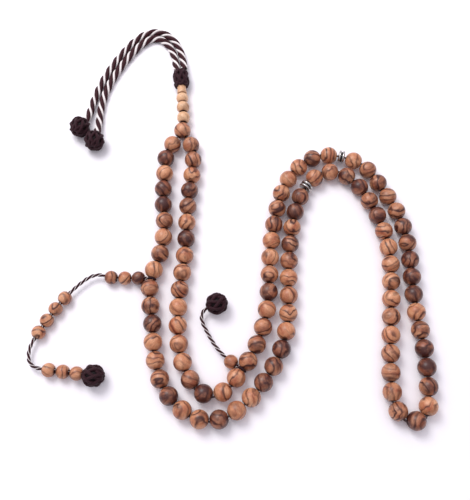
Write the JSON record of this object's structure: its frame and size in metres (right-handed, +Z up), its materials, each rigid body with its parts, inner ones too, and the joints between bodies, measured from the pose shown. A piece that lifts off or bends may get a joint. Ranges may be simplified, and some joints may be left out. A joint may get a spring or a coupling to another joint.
{
  "type": "prayer bead strand",
  "caption": "Closed strand of round veined wood beads with metal dividers, two knotted counter strings with sliding small beads, and a twisted two-rope tassel ending in ball knots.",
  "frame": {"origin": "on the table, under the middle of the bead strand, neck and head knot", "axes": "+Z up from the table; +Y across the table towards the crown bead and tassel; +X to the right, seen from above with the tassel away"},
  "size_m": [0.1731, 0.2016, 0.01],
  "materials": {
    "veined_wood": "turned round, sanded and waxed to a satin polish, with dark veins",
    "small_veined_wood": "turned round, sanded and waxed to a satin polish",
    "pale_wood": "turned round, sanded, pale sapwood",
    "spacer_metal": "polished plated spacer",
    "thread": "waxed braided thread",
    "knot_cord": "matte twisted rayon cord, interlaced",
    "twisted_cord": "dark strands twisted with one thin white strand"
  },
  "bodies": {
    "strand": {"main_thread": "thread", "crown_bead": "veined_wood", "neck_collar": "pale_wood", "head_knot": "knot_cord", "counter_tie_left": "knot_cord", "counter_tie_right": "knot_cord", "counter_cord_left": "twisted_cord", "counter_cord_right": "twisted_cord", "beads_002_to_008": "veined_wood", "beads_011_to_016": "veined_wood", "beads_018_to_024": "veined_wood", "beads_026_to_032": "veined_wood", "beads_035_to_041": "veined_wood", "beads_043_to_050": "veined_wood", "beads_052_to_058": "veined_wood", "beads_060_to_066": "veined_wood", "beads_069_to_074": "veined_wood", "beads_076_to_081": "veined_wood", "beads_084_to_090": "veined_wood", "beads_092_to_099": "veined_wood"},
    "tassel_inner": {"tassel_rope_inner": "twisted_cord", "tassel_knot_inner": "knot_cord"},
    "tassel_outer": {"tassel_rope_outer": "twisted_cord", "tassel_knot_outer": "knot_cord"},
    "counter_left_end": {"counter_knot_left": "knot_cord"},
    "counter_right_end": {"counter_knot_right": "knot_cord"},
    "counter_01": {"counter_bead_01": "small_veined_wood"},
    "counter_02": {"counter_bead_02": "small_veined_wood"},
    "counter_03": {"counter_bead_03": "small_veined_wood"},
    "counter_04": {"counter_bead_04": "small_veined_wood"},
    "counter_05": {"counter_bead_05": "small_veined_wood"},
    "counter_06": {"counter_bead_06": "small_veined_wood"},
    "counter_07": {"counter_bead_07": "small_veined_wood"},
    "counter_08": {"counter_bead_08": "small_veined_wood"},
    "counter_09": {"counter_bead_09": "small_veined_wood"},
    "counter_10": {"counter_bead_10": "small_veined_wood"},
    "counter_11": {"counter_bead_11": "small_veined_wood"},
    "neck_1": {"neck_bead_1": "pale_wood"},
    "neck_2": {"neck_bead_2": "pale_wood"},
    "neck_3": {"neck_bead_3": "pale_wood"},
    "divider_left": {"divider_left": "spacer_metal"},
    "divider_right": {"divider_right": "spacer_metal"},
    "bead_001": {"bead_001": "veined_wood"},
    "bead_009": {"bead_009": "veined_wood"},
    "bead_010": {"bead_010": "veined_wood"},
    "bead_017": {"bead_017": "veined_wood"},
    "bead_025": {"bead_025": "veined_wood"},
    "bead_033": {"bead_033": "veined_wood"},
    "bead_034": {"bead_034": "veined_wood"},
    "bead_042": {"bead_042": "veined_wood"},
    "bead_051": {"bead_051": "veined_wood"},
    "bead_059": {"bead_059": "veined_wood"},
    "bead_067": {"bead_067": "veined_wood"},
    "bead_068": {"bead_068": "veined_wood"},
    "bead_075": {"bead_075": "veined_wood"},
    "bead_082": {"bead_082": "veined_wood"},
    "bead_083": {"bead_083": "veined_wood"},
    "bead_091": {"bead_091": "veined_wood"},
    "bead_100": {"bead_100": "veined_wood"}
  },
  "joints": [
    {"name": "tassel_swing", "type": "hinge", "parent": "strand", "child": "tassel_inner", "pos_m": [-0.0487, 0.087, 0.004], "axis": [0, 0, 1], "range_deg": [-25, 25], "deforming": ["tassel_rope_inner"]},
    {"name": "tassel_splay", "type": "hinge", "parent": "tassel_inner", "child": "tassel_outer", "pos_m": [-0.0468, 0.0873, 0.004], "axis": [0, 0, 1], "range_deg": [-15, 0], "deforming": ["tassel_rope_outer"]},
    {"name": "counter_left_swing", "type": "hinge", "parent": "strand", "child": "counter_left_end", "pos_m": [-0.084, -0.022, 0.003], "axis": [0, 0, 1], "range_deg": [-20, 20], "deforming": ["counter_cord_left"]},
    {"name": "counter_right_swing", "type": "hinge", "parent": "strand", "child": "counter_right_end", "pos_m": [-0.028, -0.0548, 0.003], "axis": [0, 0, 1], "range_deg": [-15, 15], "deforming": ["counter_cord_right"]},
    {"name": "counter_03_slide", "type": "slide", "parent": "strand", "child": "counter_03", "axis": [-0.9867, 0.1625, 0], "range_m": [0, 0.003]},
    {"name": "counter_04_slide", "type": "slide", "parent": "counter_left_end", "child": "counter_04", "axis": [0.626, 0.7798, 0], "range_m": [0, 0.003]},
    {"name": "counter_07_slide", "type": "slide", "parent": "counter_left_end", "child": "counter_07", "axis": [-0.4807, -0.8769, 0], "range_m": [0, 0.003]},
    {"name": "counter_08_slide", "type": "slide", "parent": "counter_left_end", "child": "counter_08", "axis": [-0.9893, 0.145, -0.0128], "range_m": [0, 0.002]},
    {"name": "counter_11_slide", "type": "slide", "parent": "strand", "child": "counter_11", "axis": [-0.7999, 0.5803, -0.1532], "range_m": [0, 0.003]},
    {"name": "counter_01_spin", "type": "hinge", "parent": "strand", "child": "counter_01", "pos_m": [-0.06416, -0.02209, 0.00348], "axis": [-0.989, 0.0549, -0.1374], "continuous": true},
    {"name": "counter_02_spin", "type": "hinge", "parent": "strand", "child": "counter_02", "pos_m": [-0.07023, -0.02193, 0.003], "axis": [-0.9999, -0.0053, -0.0136], "continuous": true},
    {"name": "counter_05_spin", "type": "hinge", "parent": "counter_left_end", "child": "counter_05", "pos_m": [-0.09958, -0.03607, 0.003], "axis": [-0.5619, -0.8272, 0], "continuous": true},
    {"name": "counter_06_spin", "type": "hinge", "parent": "counter_left_end", "child": "counter_06", "pos_m": [-0.10282, -0.04124, 0.003], "axis": [-0.5145, -0.8575, 0], "continuous": true},
    {"name": "counter_09_spin", "type": "hinge", "parent": "counter_left_end", "child": "counter_09", "pos_m": [-0.09387, -0.06345, 0.00317], "axis": [0.9915, -0.1212, 0.0482], "continuous": true},
    {"name": "counter_10_spin", "type": "hinge", "parent": "counter_left_end", "child": "counter_10", "pos_m": [-0.08786, -0.06428, 0.00374], "axis": [0.9787, -0.1504, 0.1399], "continuous": true},
    {"name": "neck_1_spin", "type": "hinge", "parent": "strand", "child": "neck_1", "pos_m": [-0.0465, 0.0597, 0.004], "axis": [-0.0077, 1, 0], "continuous": true},
    {"name": "neck_2_spin", "type": "hinge", "parent": "strand", "child": "neck_2", "pos_m": [-0.0469, 0.0656, 0.004], "axis": [-0.0808, 0.9967, 0], "continuous": true},
    {"name": "neck_3_spin", "type": "hinge", "parent": "strand", "child": "neck_3", "pos_m": [-0.0474, 0.0708, 0.004], "axis": [-0.0969, 0.9953, 0], "continuous": true},
    {"name": "divider_left_spin", "type": "hinge", "parent": "strand", "child": "divider_left", "pos_m": [0.01158, 0.02259, 0.004], "axis": [0.55, 0.8352, 0], "continuous": true},
    {"name": "divider_right_spin", "type": "hinge", "parent": "strand", "child": "divider_right", "pos_m": [0.02885, 0.03818, 0.004], "axis": [-0.9698, 0.244, 0], "continuous": true},
    {"name": "bead_001_spin", "type": "hinge", "parent": "strand", "child": "bead_001", "pos_m": [-0.05133, 0.04494, 0.004], "axis": [-0.5163, -0.8564, 0], "continuous": true},
    {"name": "bead_009_spin", "type": "hinge", "parent": "strand", "child": "bead_009", "pos_m": [-0.05746, -0.01839, 0.004], "axis": [-0.2907, -0.9568, 0], "continuous": true},
    {"name": "bead_010_spin", "type": "hinge", "parent": "strand", "child": "bead_010", "pos_m": [-0.0589, -0.02692, 0.004], "axis": [-0.0476, -0.9989, 0], "continuous": true},
    {"name": "bead_017_spin", "type": "hinge", "parent": "strand", "child": "bead_017", "pos_m": [-0.04324, -0.07932, 0.004], "axis": [0.7847, -0.6199, 0], "continuous": true},
    {"name": "bead_025_spin", "type": "hinge", "parent": "strand", "child": "bead_025", "pos_m": [0.00043, -0.04625, 0.004], "axis": [0.2, 0.9798, 0], "continuous": true},
    {"name": "bead_033_spin", "type": "hinge", "parent": "strand", "child": "bead_033", "pos_m": [0.0087, 0.01732, 0.004], "axis": [0.4392, 0.8984, 0], "continuous": true},
    {"name": "bead_034_spin", "type": "hinge", "parent": "strand", "child": "bead_034", "pos_m": [0.01562, 0.02702, 0.004], "axis": [0.7377, 0.6752, 0], "continuous": true},
    {"name": "bead_042_spin", "type": "hinge", "parent": "strand", "child": "bead_042", "pos_m": [0.04771, -0.01578, 0.004], "axis": [-0.033, -0.9995, 0], "continuous": true},
    {"name": "bead_051_spin", "type": "hinge", "parent": "strand", "child": "bead_051", "pos_m": [0.05255, -0.08366, 0.004], "axis": [0.9865, 0.1636, 0], "continuous": true},
    {"name": "bead_059_spin", "type": "hinge", "parent": "strand", "child": "bead_059", "pos_m": [0.0566, -0.02163, 0.004], "axis": [0.005, 1, 0], "continuous": true},
    {"name": "bead_067_spin", "type": "hinge", "parent": "strand", "child": "bead_067", "pos_m": [0.03448, 0.03609, 0.004], "axis": [-0.9177, 0.3973, 0], "continuous": true},
    {"name": "bead_068_spin", "type": "hinge", "parent": "strand", "child": "bead_068", "pos_m": [0.0229, 0.03891, 0.004], "axis": [-0.9982, 0.0602, 0], "continuous": true},
    {"name": "bead_075_spin", "type": "hinge", "parent": "strand", "child": "bead_075", "pos_m": [-0.00511, -0.00451, 0.004], "axis": [-0.1241, -0.9923, 0], "continuous": true},
    {"name": "bead_082_spin", "type": "hinge", "parent": "strand", "child": "bead_082", "pos_m": [-0.01598, -0.05913, 0.004], "axis": [-0.5767, -0.817, 0], "continuous": true},
    {"name": "bead_083_spin", "type": "hinge", "parent": "strand", "child": "bead_083", "pos_m": [-0.02098, -0.06619, 0.004], "axis": [-0.5433, -0.8395, 0], "continuous": true},
    {"name": "bead_091_spin", "type": "hinge", "parent": "strand", "child": "bead_091", "pos_m": [-0.04573, -0.02764, 0.004], "axis": [0.0783, 0.9969, 0], "continuous": true},
    {"name": "bead_100_spin", "type": "hinge", "parent": "strand", "child": "bead_100", "pos_m": [-0.04247, 0.04453, 0.004], "axis": [-0.404, 0.9148, 0], "continuous": true}
  ]
}
